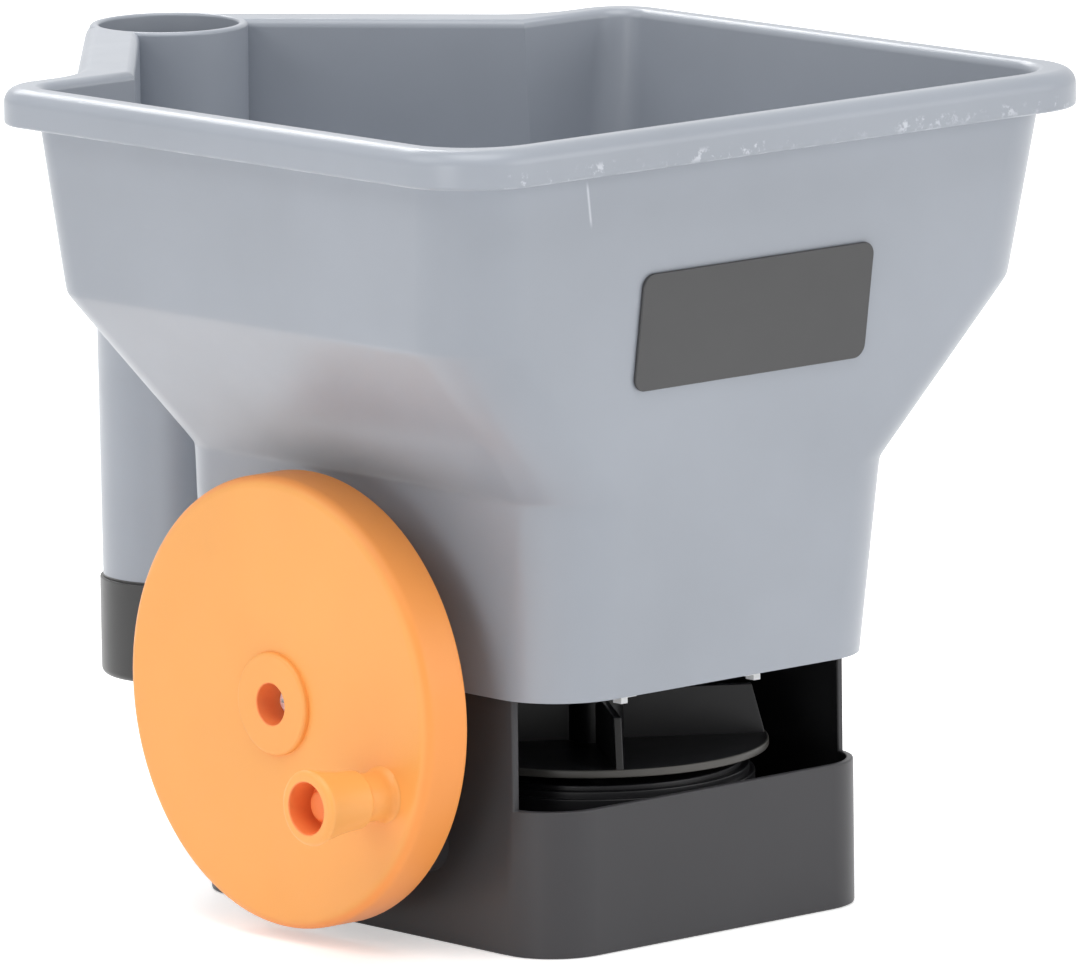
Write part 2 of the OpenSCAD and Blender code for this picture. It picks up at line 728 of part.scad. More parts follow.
module bearing_block() {
    foot_z = foot_h + 1;
    color(black) difference() {
        union() {
            translate([block_x0, spin_y - block_w / 2, base_floor])
                cube([block_l, block_w, lay_z - base_floor]);
            along_x(block_x0, block_w / 2, block_x1, spin_y, lay_z);
            for (y = block_screw_ys) translate([block_x, y, foot_z])
                cylinder(h = foot_t, r = lug_r + screw_hole);
            translate([block_x0, block_screw_ys[0], foot_z])
                cube([block_l, block_screw_ys[1] - block_screw_ys[0], foot_t]);
        }
        along_x(block_x0 - 1, bush_r, block_x1 + 1, spin_y, lay_z);
        for (y = block_screw_ys) translate([block_x, y, foot_z - 1])
            cylinder(h = foot_t + 2, r = small_screw[0] + screw_hole);
    }
}

module block_screws() {
    color(steel) for (y = block_screw_ys) translate([block_x, y, foot_h + 1 + foot_t])
        pan_screw(small_screw, block_screw_l);
}

// Bevel gear about +Z with its small end up and the large end's plane at z = 0
module bevel_gear(turn) {
    low = -1.25 * bevel_m;
    high = bevel_m;
    difference() {
        union() {
            linear_extrude(bevel_face, scale = (bevel_r - bevel_face) / bevel_r)
                polygon([for (k = [0:bevel_n - 1]) each bevel_tooth(turn + k * 360 / bevel_n, low, high)]);
            translate([0, 0, -bevel_hub]) cylinder(h = bevel_hub + eps, r = bevel_hub_r);
        }
        translate([0, 0, -bevel_hub - 1]) cylinder(h = bevel_hub + bevel_face + 2, r = shaft_r);
    }
}

module layshaft_bevel() {
    color(nylon) translate([-bevel_r, spin_y, lay_z]) rotate([0, 90, 0]) bevel_gear(0);
}

module spindle_bevel() {
    color(nylon) translate([0, spin_y, lay_z - bevel_r]) bevel_gear(180 + 180 / bevel_n);
}

module spindle_lower_bush() {
    color(nylon) translate([0, spin_y, thrust_z]) rotate([180, 0, 0])
        flanged_bush(bush_r, thrust_z - base_floor, bush_flange_r, bush_flange, shaft_r + run_gap);
}

module spindle_upper_bush() {
    color(nylon) translate([0, spin_y, drum_steps[3][1] - upper_bush_l]) difference() {
        cylinder(h = upper_bush_l, r = bush_r);
        translate([0, 0, -1]) cylinder(h = upper_bush_l + 2, r = shaft_r + run_gap);
    }
}

module spindle() {
    color(steel) translate([0, spin_y, spindle_low]) cylinder(h = spindle_top - spindle_low, r = shaft_r);
}

module spinner() {
    color(black) translate([0, spin_y, spin_z]) difference() {
        union() {
            translate([0, 0, -plate_t]) cylinder(h = plate_t, r = spin_r, $fn = 128);
            translate([0, 0, -plate_t - 1]) cylinder(h = spin_hub_top - spin_z + plate_t + 1, r = spin_hub_r);
            for (k = [0:vanes - 1]) rotate([0, 0, vane_turn + k * 360 / vanes]) vane();
        }
        translate([0, 0, -10]) cylinder(h = 40, r = shaft_r);
    }
}

module vane() {
    tip = spin_r - vane_edge;
    rotate([90, 0, 0]) translate([0, 0, -vane_t / 2]) linear_extrude(vane_t)
        polygon([[shaft_r + 2, -1], [tip, -1], [tip, 0], [tip - vane_taper, vane_h],
                 [2 * spin_hub_r + 2, vane_h], [spin_hub_r - 1, spin_hub_top - spin_z - 1]]);
}

module spinner_clip() {
    color(steel) translate([0, spin_y, spin_hub_top]) difference() {
        cylinder(h = clip_t, r = clip_r);
        translate([0, 0, -1]) cylinder(h = clip_t + 2, r = shaft_r);
    }
}

module agitator() {
    color(nylon) translate([0, spin_y, stir_z]) difference() {
        union() {
            cylinder(h = stir_h, r = stir_r);
            for (a = [30, 210]) rotate([0, 0, a]) translate([stir_r - 2, 0, stir_h - 5]) rotate([0, 70, 0])
                cylinder(h = stir_arm_l, r = stir_arm_r);
        }
        translate([0, 0, -1]) cylinder(h = spindle_top - stir_z + 1, r = shaft_r);
    }
}

module floor_seal() {
    color(black) translate([0, spin_y, floor_z + floor_t]) rotate([180, 0, 0])
        flanged_bush(seal_r, floor_t, seal_flange_r, bush_flange, shaft_r + run_gap);
}

module gate_slide() {
    window_y0 = outlet_y0 - gate_travel - 2;
    window_y1 = outlet_y0 - 2;
    slot_x = shaft_r + 1;
    color(black) difference() {
        union() {
            translate([-gate_x, gate_front, gate_low]) cube([2 * gate_x, gate_rear - gate_front, gate_t]);
            translate([-gate_x, gate_rear - eps, gate_low - tab_drop])
                cube([2 * gate_x, tab_t, gate_t + 2 * tab_drop]);
        }
        translate([-outlet_x, window_y0, gate_low - 1])
            cube([2 * outlet_x, window_y1 - window_y0, gate_t + 2]);
        translate([-slot_x, window_y0 - gate_travel, gate_low - 1])
            cube([2 * slot_x, gate_travel + 1, gate_t + 2]);
    }
}

hopper();
handle_end_cap();
badge_plate();
base_housing();
gear_drum();
drum_screws();
base_screws();
crank_axle();
crank_disc();
crank_knob();
crank_washer();
crank_screw();
layshaft();
layshaft_pinion();
layshaft_bevel();
layshaft_clip();
layshaft_outer_bush();
layshaft_inner_bush();
bearing_block();
block_screws();
spindle();
spindle_bevel();
spindle_lower_bush();
spindle_upper_bush();
spinner();
spinner_clip();
agitator();
floor_seal();
gate_slide();
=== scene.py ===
import json
import math

import bmesh
import bpy
from mathutils import Matrix, Vector


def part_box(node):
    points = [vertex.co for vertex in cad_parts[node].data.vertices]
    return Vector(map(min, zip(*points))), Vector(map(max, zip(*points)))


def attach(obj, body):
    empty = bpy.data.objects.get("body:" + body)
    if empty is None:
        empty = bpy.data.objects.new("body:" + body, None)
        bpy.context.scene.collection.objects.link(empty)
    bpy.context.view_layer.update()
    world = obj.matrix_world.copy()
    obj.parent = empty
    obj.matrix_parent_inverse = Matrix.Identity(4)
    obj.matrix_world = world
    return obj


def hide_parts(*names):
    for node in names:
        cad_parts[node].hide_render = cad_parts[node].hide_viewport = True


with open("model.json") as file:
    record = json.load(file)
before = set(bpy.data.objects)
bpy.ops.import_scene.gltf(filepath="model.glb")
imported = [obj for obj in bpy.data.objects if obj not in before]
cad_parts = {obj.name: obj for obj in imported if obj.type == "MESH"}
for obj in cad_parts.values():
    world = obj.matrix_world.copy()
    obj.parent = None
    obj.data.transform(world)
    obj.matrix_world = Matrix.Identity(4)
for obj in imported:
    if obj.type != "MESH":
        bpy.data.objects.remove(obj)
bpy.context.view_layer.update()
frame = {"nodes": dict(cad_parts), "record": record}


def mm(value):
    """Millimetres to the scene's metres."""
    return value * 0.001


# Sizes of the pieces, in millimetres above the ground and from the middle of the base

hopper_low, hopper_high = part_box("hopper")
RIM_Z = hopper_high[2] * 1000.0
RIM_X = hopper_high[0] * 1000.0
RIM_FRONT = -hopper_low[1] * 1000.0
RIM_REAR = 82.0
RIM_H = 9.5
RIM_LOW = RIM_Z - RIM_H
RIM_FRONT_R, RIM_REAR_R, RIM_RUN_R = 22.0, 15.0, 9.0
RIM_EDGE, RIM_LOW_EDGE, INNER_EDGE = 4.0, 0.9, 2.3
RIM_BAND = 7.5

WALL = 2.3
HOPPER_Z = 64.7
FLOOR_Z, FLOOR_T = 67.0, 2.2
CREASE_Z, BEND_Z, CREASE_SOFT = 115.0, 157.4, 0.8
LOW_X, LOW_FRONT, LOW_REAR = 57.0, 73.2, 70.5
LOW_DRAFT, TOP_DRAFT = 0.009, 0.115
CORNER_R, CORNER_LOW_R, CORNER_REAR_R = 19.5, 17.0, 11.0

TUBE_Y, TUBE_R, TUBE_TAPER, TUBE_WALL, TUBE_Z = 137.0, 20.5, 0.9, 2.4, 65.5
TUBE_BAND, TUBE_LIP, MOUTH_EDGE = 1.2, 1.0, 0.8

POCKET_X, POCKET_BAND, POCKET_START = 77.5, 15.2, 66.0
POCKET_ANGLE = math.radians(49.0)
POCKET_FLOOR, POCKET_RISE = 143.0, 0.5

RAIL_IN, RAIL_T, RAIL_HOOK, RAIL_LOW = 21.3, 2.2, 3.0, 61.4
RAIL_FRONT, RAIL_REAR = -60.7, 60.0
RAIL_TIP, RAIL_TIP_LOW = 3.0, 60.0
HOOK_TOP, HOOK_LAP = 64.0, 0.5
GATE_SLOT = 20.0
BOSS_X, BOSS_YS, BOSS_LOW, BOSS_R = 46.8, (12.0, 59.8), 60.0, 4.5
BOSS_HOLE_R, BOSS_HOLE_TOP = 1.5, 66.5
OUTLET_X, OUTLET_Y = 12.0, (-16.0, 0.0)
SPIN_Y, SEAL_R = -25.0, 5.5

BASE_X, BASE_Y, BASE_R, BASE_WALL = 56.0, 69.5, 16.0, 2.0
SPINNER_R, SPINNER_Z, VANE_SLANT = 43.5, 43.5, 3.3 / 12.6
CRANK_AXIS, KNOB_AXIS = (0.0, 60.4), (-40.0, 42.8)
DISC_R, HUB_HOLE_R, KNOB_HOLE_R, KNOB_FOOT_X = 57.0, 5.2, 6.5, -96.0

# How far one solid reaches into or past another before a boolean
LAP, FUNNEL_LAP = 1.0, 3.0


# Materials

MOTTLE_SCALE, SHEEN_SCALE, GRAIN_SCALE, STREAK_SCALE = 14.0, 90.0, 2600.0, 700.0
TINT_LOW, TINT_HIGH = 0.3, 0.7
SHEEN_RANGE, STREAK_RANGE, STREAK_DARK = 0.06, 0.08, 0.85
GRAIN_DEPTH = mm(0.05)


def new_material(name):
    """Material with its node tree and its shader."""
    mat = bpy.data.materials.new(name)
    mat.use_nodes = True
    tree = mat.node_tree
    return mat, tree, tree.nodes["Principled BSDF"]


def object_noise(tree, scale, detail=4.0, roughness=0.55):
    """Noise on the piece's own coordinates, in cycles per metre."""
    place = tree.nodes.new("ShaderNodeTexCoord")
    noise = tree.nodes.new("ShaderNodeTexNoise")
    noise.inputs["Scale"].default_value = scale
    noise.inputs["Detail"].default_value = detail
    noise.inputs["Roughness"].default_value = roughness
    tree.links.new(place.outputs["Object"], noise.inputs["Vector"])
    return noise.outputs["Fac"]


def two_tints(tree, source, low, high):
    """Colour that goes from one tint to the other with a noise."""
    node = tree.nodes.new("ShaderNodeValToRGB")
    for end, place, colour in zip(node.color_ramp.elements, (TINT_LOW, TINT_HIGH), (low, high)):
        end.position = place
        end.color = (*colour, 1.0)
    tree.links.new(source, node.inputs["Fac"])
    return node.outputs["Color"]


def spread(tree, source, low, high):
    """Stretches a value of 0 to 1 to the given range."""
    node = tree.nodes.new("ShaderNodeMapRange")
    node.inputs["To Min"].default_value = low
    node.inputs["To Max"].default_value = high
    tree.links.new(source, node.inputs["Value"])
    return node.outputs["Result"]


def moulded_plastic(name, colour, rough, grain=0.25, mottle=0.05, gloss=0.5):
    """Moulded plastic: slow mottle in the colour, uneven sheen and a fine moulded grain."""
    mat, tree, shader = new_material(name)
    darker = tuple(c * (1.0 - mottle) for c in colour)
    lighter = tuple(min(1.0, c * (1.0 + mottle)) for c in colour)
    tint = two_tints(tree, object_noise(tree, MOTTLE_SCALE, detail=3.0), darker, lighter)
    tree.links.new(tint, shader.inputs["Base Color"])
    sheen = object_noise(tree, SHEEN_SCALE, detail=5.0)
    uneven = spread(tree, sheen, rough - SHEEN_RANGE, rough + SHEEN_RANGE)
    tree.links.new(uneven, shader.inputs["Roughness"])
    bump = tree.nodes.new("ShaderNodeBump")
    bump.inputs["Strength"].default_value = grain
    bump.inputs["Distance"].default_value = GRAIN_DEPTH
    tree.links.new(object_noise(tree, GRAIN_SCALE, detail=2.0), bump.inputs["Height"])
    tree.links.new(bump.outputs["Normal"], shader.inputs["Normal"])
    shader.inputs["Specular IOR Level"].default_value = gloss
    return mat


def bright_steel(name, colour, rough):
    """Turned and plated steel with faint streaks."""
    mat, tree, shader = new_material(name)
    streak = object_noise(tree, STREAK_SCALE, detail=3.0)
    tint = two_tints(tree, streak, tuple(c * STREAK_DARK for c in colour), colour)
    tree.links.new(tint, shader.inputs["Base Color"])
    uneven = spread(tree, streak, rough - STREAK_RANGE, rough + STREAK_RANGE)
    tree.links.new(uneven, shader.inputs["Roughness"])
    shader.inputs["Metallic"].default_value = 1.0
    return mat


FINISH = {
    "hopper_grey": moulded_plastic("grey_hopper_plastic", (0.350, 0.378, 0.426), 0.32),
    "cap_black": moulded_plastic("black_cap_plastic", (0.034, 0.034, 0.034), 0.36),
    "badge_dark": moulded_plastic("dark_badge_plastic", (0.053, 0.053, 0.055), 0.5, grain=0.1),
    "base_black": moulded_plastic("black_base_plastic", (0.058, 0.057, 0.061), 0.38, gloss=0.22),
    "drum_black": moulded_plastic("black_gearbox_plastic", (0.014, 0.014, 0.016), 0.36, gloss=0.4),
    "spinner_black": moulded_plastic("black_spinner_plastic", (0.008, 0.008, 0.009), 0.36, gloss=0.3),
    "crank_orange": moulded_plastic("orange_crank_plastic", (0.95, 0.42, 0.105), 0.45),
    "screw_steel": bright_steel("plated_screw_steel", (0.86, 0.86, 0.87), 0.42),
    "shaft_steel": bright_steel("ground_shaft_steel", (0.62, 0.62, 0.63), 0.28),
    "gear_nylon": moulded_plastic("natural_nylon", (0.72, 0.70, 0.63), 0.45),
    "seal_rubber": moulded_plastic("seal_rubber", (0.02, 0.02, 0.02), 0.75),
}
SLOTS = {part["node"]: part["material_slot"] for part in frame["record"]["subparts"]}

for node, slot in SLOTS.items():
    skin = frame["nodes"][node].data
    skin.materials.clear()
    skin.materials.append(FINISH[slot])


# Wear, tints, and painted light and shade that belong to one place of a piece. Masks are 1 where the mark
# is.

# The pale tint marks the rim's scuffs, scratch and lower edge; then painted light for the rail tips and a
# painted shadow for the cap seam.
PALE_WEAR, PAINTED_TIP_LIGHT, PAINTED_SEAM_SHADOW = (0.66, 0.69, 0.74), (0.86, 0.87, 0.88), (0.03, 0.03, 0.03)
# Painted shade for the inside of the base, and a painted highlight for the spinner's rim.
PAINTED_SHADE_BLACK, PAINTED_HIGHLIGHT_BLACK = (0.014, 0.014, 0.015), (0.075, 0.072, 0.066)
# Orange of the painted shade on the disc's outer side and in the hub's and knob's hollows.
SIDE_SHADE_ORANGE, HOLE_SHADE_ORANGE = (0.97, 0.35, 0.075), (0.95, 0.27, 0.075)

# Speckles: scale, detail and roughness of the noise, then the two limits of the mask
FLAKES = (300.0, 7.0, 0.7, 0.53, 0.62)
PATCHES = (45.0, 2.0, 0.55, 0.42, 0.56)
EDGE_SPECKS = (120.0, 4.0, 0.55, 0.40, 0.62)

# Marks on the rim: how deep they fade in, and their low end, high end and softness over the rim's lower edge
RIM_FADE, RIM_FULL = 2.5, 1.0
SCUFF_LOW, SCUFF_HIGH, SCUFF_SOFT, SCUFF_STRENGTH = 0.6, 3.4, 0.9, 0.75
EDGE_LOW, EDGE_HIGH, EDGE_SOFT, EDGE_STRENGTH = -0.1, 0.35, 0.25, 0.45

# Painted light on the rail tips: its upper fade and the softness of its ends.
TIP_FADE, TIP_SOFT = 1.5, 0.5
# Painted shadow over the cap seam: its height, softness, and where it starts and is full towards the rear.
SEAM, SEAM_SOFT, SEAM_START, SEAM_FULL = 0.6, 0.15, 100.0, 110.0
SCRATCH_X, SCRATCH_LEAN, SCRATCH_Z, SCRATCH_FACE = -61.6, 0.24, (187.5, 197.5), -91.3
SCRATCH_HALF, SCRATCH_FADE, SCRATCH_DEPTH, SCRATCH_STRENGTH = 0.3, 1.5, 0.4, 0.8
# Painted shade inside the base: where it fades in and where it is full.
INSIDE_FADE, INSIDE_FULL = 0.7, 0.2
# Painted highlight on the spinner's rim: where it fades in and where it is full.
GLINT_FADE, GLINT_FULL = 0.7, 0.3
# Painted shade on the orange: fade and full for the disc's side and the hollows, and the softness at the
# knob's foot.
SIDE_FADE, SIDE_FULL = 2.2, 0.6
HOLE_FADE, HOLE_FULL, FOOT_SOFT = 0.5, 0.1, 1.0


def maths(tree, operation, *inputs):
    """Maths node on links or plain numbers, as its output."""
    node = tree.nodes.new("ShaderNodeMath")
    node.operation = operation
    for socket, value in zip(node.inputs, inputs):
        if isinstance(value, (int, float)):
            socket.default_value = value
        else:
            tree.links.new(value, socket)
    return node.outputs[0]


def product(tree, first, *others):
    """All masks multiplied, where a plain number sets the strength."""
    for other in others:
        first = maths(tree, "MULTIPLY", first, other)
    return first


def step_up(tree, source, low, high):
    """Smooth step from 0 at low to 1 at high. With low above high it steps down."""
    node = tree.nodes.new("ShaderNodeMapRange")
    node.interpolation_type = "SMOOTHSTEP"
    falls = low > high
    node.inputs["From Min"].default_value = min(low, high)
    node.inputs["From Max"].default_value = max(low, high)
    node.inputs["To Min"].default_value = 1.0 if falls else 0.0
    node.inputs["To Max"].default_value = 0.0 if falls else 1.0
    tree.links.new(source, node.inputs["Value"])
    return node.outputs["Result"]


def band(tree, source, low, high, soft):
    """Mask between two lengths in millimetres, with soft ends."""
    rise = step_up(tree, source, mm(low - soft), mm(low + soft))
    fall = step_up(tree, source, mm(high + soft), mm(high - soft))
    return maths(tree, "MULTIPLY", rise, fall)


def speckle(tree, kind):
    """Mask of scattered spots."""
    scale, detail, roughness, low, high = kind
    return step_up(tree, object_noise(tree, scale, detail, roughness), low, high)


def piece_axes(tree):
    """The piece's own x, y and z, in metres."""
    place = tree.nodes.new("ShaderNodeTexCoord")
    axes = tree.nodes.new("ShaderNodeSeparateXYZ")
    tree.links.new(place.outputs["Object"], axes.inputs["Vector"])
    return axes.outputs["X"], axes.outputs["Y"], axes.outputs["Z"]


def tint_over(mat, mask, colour):
    """Lays a colour over the material where the mask is 1."""
    tree = mat.node_tree
    target = tree.nodes["Principled BSDF"].inputs["Base Color"]
    below = target.links[0].from_socket
    mix = tree.nodes.new("ShaderNodeMix")
    mix.data_type = "RGBA"
    tree.links.new(mask, mix.inputs["Factor"])
    tree.links.new(below, mix.inputs["A"])
    mix.inputs["B"].default_value = (*colour, 1.0)
    tree.links.new(mix.outputs["Result"], target)


def plan_distance(tree, x, y, middle_y, flat_x=0.0, flat_y=0.0):
    """Distance in plan from an upright axis, or from a flat block round it, in metres."""
    across = maths(tree, "SUBTRACT", maths(tree, "ABSOLUTE", x), mm(flat_x))
    across = maths(tree, "MAXIMUM", across, 0.0)
    along = maths(tree, "ABSOLUTE", maths(tree, "SUBTRACT", y, mm(middle_y)))
    along = maths(tree, "MAXIMUM", maths(tree, "SUBTRACT", along, mm(flat_y)), 0.0)
    squares = maths(tree, "MULTIPLY_ADD", across, across, maths(tree, "MULTIPLY", along, along))
    return maths(tree, "SQRT", squares)


def axis_distance(tree, y, z, axis):
    """Distance from a level axis that runs across the part, in metres."""
    along = maths(tree, "SUBTRACT", y, mm(axis[0]))
    up = maths(tree, "SUBTRACT", z, mm(axis[1]))
    squares = maths(tree, "MULTIPLY_ADD", along, along, maths(tree, "MULTIPLY", up, up))
    return maths(tree, "SQRT", squares)


def worn_rim(mat):
    """Pale scuffs along the lower half of the rim's front, and a paler speckled line along the rim's lower
    edge all round.
    """
    tree = mat.node_tree
    x, y, z = piece_axes(tree)
    front = step_up(tree, y, mm(RIM_FADE - RIM_FRONT), mm(RIM_FULL - RIM_FRONT))
    side = step_up(tree, maths(tree, "ABSOLUTE", x), mm(RIM_X - RIM_FADE), mm(RIM_X - RIM_FULL))
    low_half = band(tree, z, RIM_LOW + SCUFF_LOW, RIM_LOW + SCUFF_HIGH, SCUFF_SOFT)
    spots = product(tree, speckle(tree, FLAKES), speckle(tree, PATCHES))
    tint_over(mat, product(tree, spots, low_half, front, SCUFF_STRENGTH), PALE_WEAR)
    low_edge = band(tree, z, RIM_LOW + EDGE_LOW, RIM_LOW + EDGE_HIGH, EDGE_SOFT)
    outside = maths(tree, "MAXIMUM", front, side)
    tint_over(mat, product(tree, low_edge, outside, speckle(tree, EDGE_SPECKS), EDGE_STRENGTH), PALE_WEAR)


def painted_light_rail_tips(mat):
    """Painted light: pale front ends of the two rails under the floor."""
    tree = mat.node_tree
    x, y, z = piece_axes(tree)
    low = step_up(tree, z, mm(HOOK_TOP), mm(RAIL_LOW + TIP_FADE))
    front_end = band(tree, y, RAIL_FRONT - LAP, RAIL_FRONT + RAIL_TIP, TIP_SOFT)
    tint_over(mat, product(tree, low, front_end), PAINTED_TIP_LIGHT)


def painted_cap_seam_shadow(mat):
    """Painted shadow: a thin dark ring round the handle tube, just above its cap."""
    tree = mat.node_tree
    x, y, z = piece_axes(tree)
    ring = band(tree, z, TUBE_Z - LAP, TUBE_Z + SEAM, SEAM_SOFT)
    tint_over(mat, product(tree, ring, step_up(tree, y, mm(SEAM_START), mm(SEAM_FULL))), PAINTED_SEAM_SHADOW)


def front_scratch(mat):
    """One scratch, nearly upright, on the outside of the front, under the rim."""
    tree = mat.node_tree
    x, y, z = piece_axes(tree)
    leaning = maths(tree, "MULTIPLY_ADD", z, SCRATCH_LEAN, x)
    across = SCRATCH_X + SCRATCH_LEAN * SCRATCH_Z[1]
    line = band(tree, leaning, across - SCRATCH_HALF, across + SCRATCH_HALF, SCRATCH_HALF)
    length = band(tree, z, SCRATCH_Z[0], SCRATCH_Z[1], SCRATCH_FADE)
    outside = step_up(tree, y, mm(SCRATCH_FACE + SCRATCH_DEPTH), mm(SCRATCH_FACE))
    tint_over(mat, product(tree, line, length, outside, SCRATCH_STRENGTH), PALE_WEAR)


def painted_shade_base_inside(mat):
    """Painted shade: the base's inner faces are coloured darker than the outside."""
    tree = mat.node_tree
    x, y, z = piece_axes(tree)
    out = plan_distance(tree, x, y, 0.0, BASE_X - BASE_R, BASE_Y - BASE_R)
    inner_r = BASE_R - BASE_WALL
    tint_over(mat, step_up(tree, out, mm(inner_r + INSIDE_FADE), mm(inner_r + INSIDE_FULL)), PAINTED_SHADE_BLACK)


def painted_highlight_spinner(mat):
    """Painted highlight: lighter black along the spinner's rim and the slanted ends of its vanes."""
    tree = mat.node_tree
    x, y, z = piece_axes(tree)
    above = maths(tree, "MAXIMUM", maths(tree, "SUBTRACT", z, mm(SPINNER_Z)), 0.0)
    out = maths(tree, "MULTIPLY_ADD", above, VANE_SLANT, plan_distance(tree, x, y, SPIN_Y))
    tint_over(mat, step_up(tree, out, mm(SPINNER_R - GLINT_FADE), mm(SPINNER_R - GLINT_FULL)), PAINTED_HIGHLIGHT_BLACK)


def painted_shade_orange(mat):
    """Painted shade: deeper orange in the hub's hole, in the knob's hollow and on the disc's outer side."""
    tree = mat.node_tree
    x, y, z = piece_axes(tree)
    from_crank = axis_distance(tree, y, z, CRANK_AXIS)
    from_knob = axis_distance(tree, y, z, KNOB_AXIS)
    disc_side = step_up(tree, from_crank, mm(DISC_R - SIDE_FADE), mm(DISC_R - SIDE_FULL))
    tint_over(mat, disc_side, SIDE_SHADE_ORANGE)
    in_hub = step_up(tree, from_crank, mm(HUB_HOLE_R + HOLE_FADE), mm(HUB_HOLE_R + HOLE_FULL))
    in_knob = step_up(tree, from_knob, mm(KNOB_HOLE_R + HOLE_FADE), mm(KNOB_HOLE_R + HOLE_FULL))
    outside_disc = step_up(tree, x, mm(KNOB_FOOT_X + FOOT_SOFT), mm(KNOB_FOOT_X - FOOT_SOFT))
    in_knob = product(tree, in_knob, outside_disc)
    tint_over(mat, maths(tree, "MAXIMUM", in_hub, in_knob), HOLE_SHADE_ORANGE)


# Mesh helpers. The hopper is drawn in millimetres and scaled once it is finished.

CORNER_STEPS, RUN_STEPS, EDGE_STEPS, LOW_EDGE_STEPS, SOFT_STEPS, TUBE_STEPS = 14, 8, 6, 3, 2, 10
TUBE_SIDES, BOSS_SIDES, BOSS_HOLE_SIDES, SEAL_SIDES = 96, 32, 24, 48
SAME_LINE, SAME_PLACE = 1e-4, 1e-3
SMOOTH_ANGLE, SOFTEN_ANGLE, RIM_ANGLE = math.radians(34.0), math.radians(40.0), math.radians(60.0)
FLAT_ANGLE = math.radians(0.4)
MERGE, THIN = mm(0.004), mm(0.01)


def cut(solid, tool, operation):
    """Boolean of two meshes, as a new mesh. Both are used up."""
    pair = []
    for bm in (solid, tool):
        bmesh.ops.recalc_face_normals(bm, faces=bm.faces)
        mesh = bpy.data.meshes.new("work")
        bm.to_mesh(mesh)
        bm.free()
        thing = bpy.data.objects.new("work", mesh)
        bpy.context.collection.objects.link(thing)
        pair.append(thing)
    step = pair[0].modifiers.new("cut", "BOOLEAN")
    step.operation = operation
    step.solver = "EXACT"
    step.object = pair[1]
    result = bmesh.new()
    result.from_object(pair[0], bpy.context.evaluated_depsgraph_get())
    for thing in pair:
        mesh = thing.data
        bpy.data.objects.remove(thing)
        bpy.data.meshes.remove(mesh)
    return result


def add(solid, tool):
    return cut(solid, tool, "UNION")


def take(solid, tool):
    return cut(solid, tool, "DIFFERENCE")


def round_edges(bm, edges, radius, segments):
    """Rounds the given edges in place."""
    bmesh.ops.bevel(bm, geom=list(edges), offset=radius, offset_type="OFFSET", segments=segments,
                    profile=0.5, affect="EDGES", clamp_overlap=False, loop_slide=True, material=-1)


def body_of(node):
    """Name of the body that carries a node."""
    bodies = frame["record"]["behaviour"]["bodies"]
    return next(name for name, nodes in bodies.items() if node in nodes)


def finished(bm, name, node):
    """Turns a mesh in metres into the piece that stands for a CAD node, with that node's body and slot."""
    mesh = bpy.data.meshes.new(name)
    bm.to_mesh(mesh)
    bm.free()
    mesh.shade_smooth()
    mesh.set_sharp_from_angle(angle=SMOOTH_ANGLE)
    slot = SLOTS[node]
    mesh.materials.append(FINISH[slot])
    piece = bpy.data.objects.new(name, mesh)
    bpy.context.collection.objects.link(piece)
    even = piece.modifiers.new("even_normals", "WEIGHTED_NORMAL")
    even.keep_sharp = True
    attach(piece, body_of(node))
    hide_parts(node)


def softened(node, name, radius):
    """Copy of a CAD node with its sharp moulded edges broken by a small radius."""
    bm = bmesh.new()
    bm.from_mesh(frame["nodes"][node].data)
    bmesh.ops.remove_doubles(bm, verts=bm.verts, dist=MERGE)
    bmesh.ops.dissolve_limit(bm, angle_limit=FLAT_ANGLE, verts=bm.verts, edges=bm.edges)
    bmesh.ops.dissolve_degenerate(bm, dist=THIN, edges=bm.edges)
    sharp = [e for e in bm.edges
             if len(e.link_faces) == 2 and e.is_convex and e.calc_face_angle() > SOFTEN_ANGLE]
    round_edges(bm, sharp, mm(radius), SOFT_STEPS)
    finished(bm, name, node)


def new_verts(made):
    """The points among what an extrusion made."""
    return [g for g in made if isinstance(g, bmesh.types.BMVert)]


def prism(plan, low, high):
    """Straight solid over a plan of few points."""
    bm = bmesh.new()
    face = bm.faces.new([bm.verts.new((x, y, low)) for x, y in plan])
    made = bmesh.ops.extrude_face_region(bm, geom=[face])["geom"]
    bmesh.ops.translate(bm, vec=(0.0, 0.0, high - low), verts=new_verts(made))
    bmesh.ops.recalc_face_normals(bm, faces=bm.faces)
    return bm


def box_solid(low, high):
    """Box between two corners."""
    bm = bmesh.new()
    bmesh.ops.create_cube(bm, size=1.0)
    size = Vector(high) - Vector(low)
    bmesh.ops.scale(bm, vec=size, verts=bm.verts)
    bmesh.ops.translate(bm, vec=(Vector(high) + Vector(low)) / 2.0, verts=bm.verts)
    return bm


def upright(x, y, low, high, radius, sides):
    """Upright round rod."""
    bm = bmesh.new()
    bmesh.ops.create_cone(bm, cap_ends=True, segments=sides, radius1=radius, radius2=radius,
                          depth=high - low)
    bmesh.ops.translate(bm, vec=(x, y, (low + high) / 2.0), verts=bm.verts)
    return bm


def turned(profile, x, y):
    """Solid turned round an upright axis, from a profile of radius and height that starts and ends on it."""
    bm = bmesh.new()
    points = [bm.verts.new((r, 0.0, z)) for r, z in profile]
    line = [bm.edges.new(pair) for pair in zip(points, points[1:])]
    bmesh.ops.spin(bm, geom=points + line, cent=(0.0, 0.0, 0.0), axis=(0.0, 0.0, 1.0), angle=math.tau,
                   steps=TUBE_SIDES, use_merge=True)
    bmesh.ops.remove_doubles(bm, verts=bm.verts, dist=SAME_LINE)
    bmesh.ops.translate(bm, vec=(x, y, 0.0), verts=bm.verts)
    bmesh.ops.recalc_face_normals(bm, faces=bm.faces)
    return bm


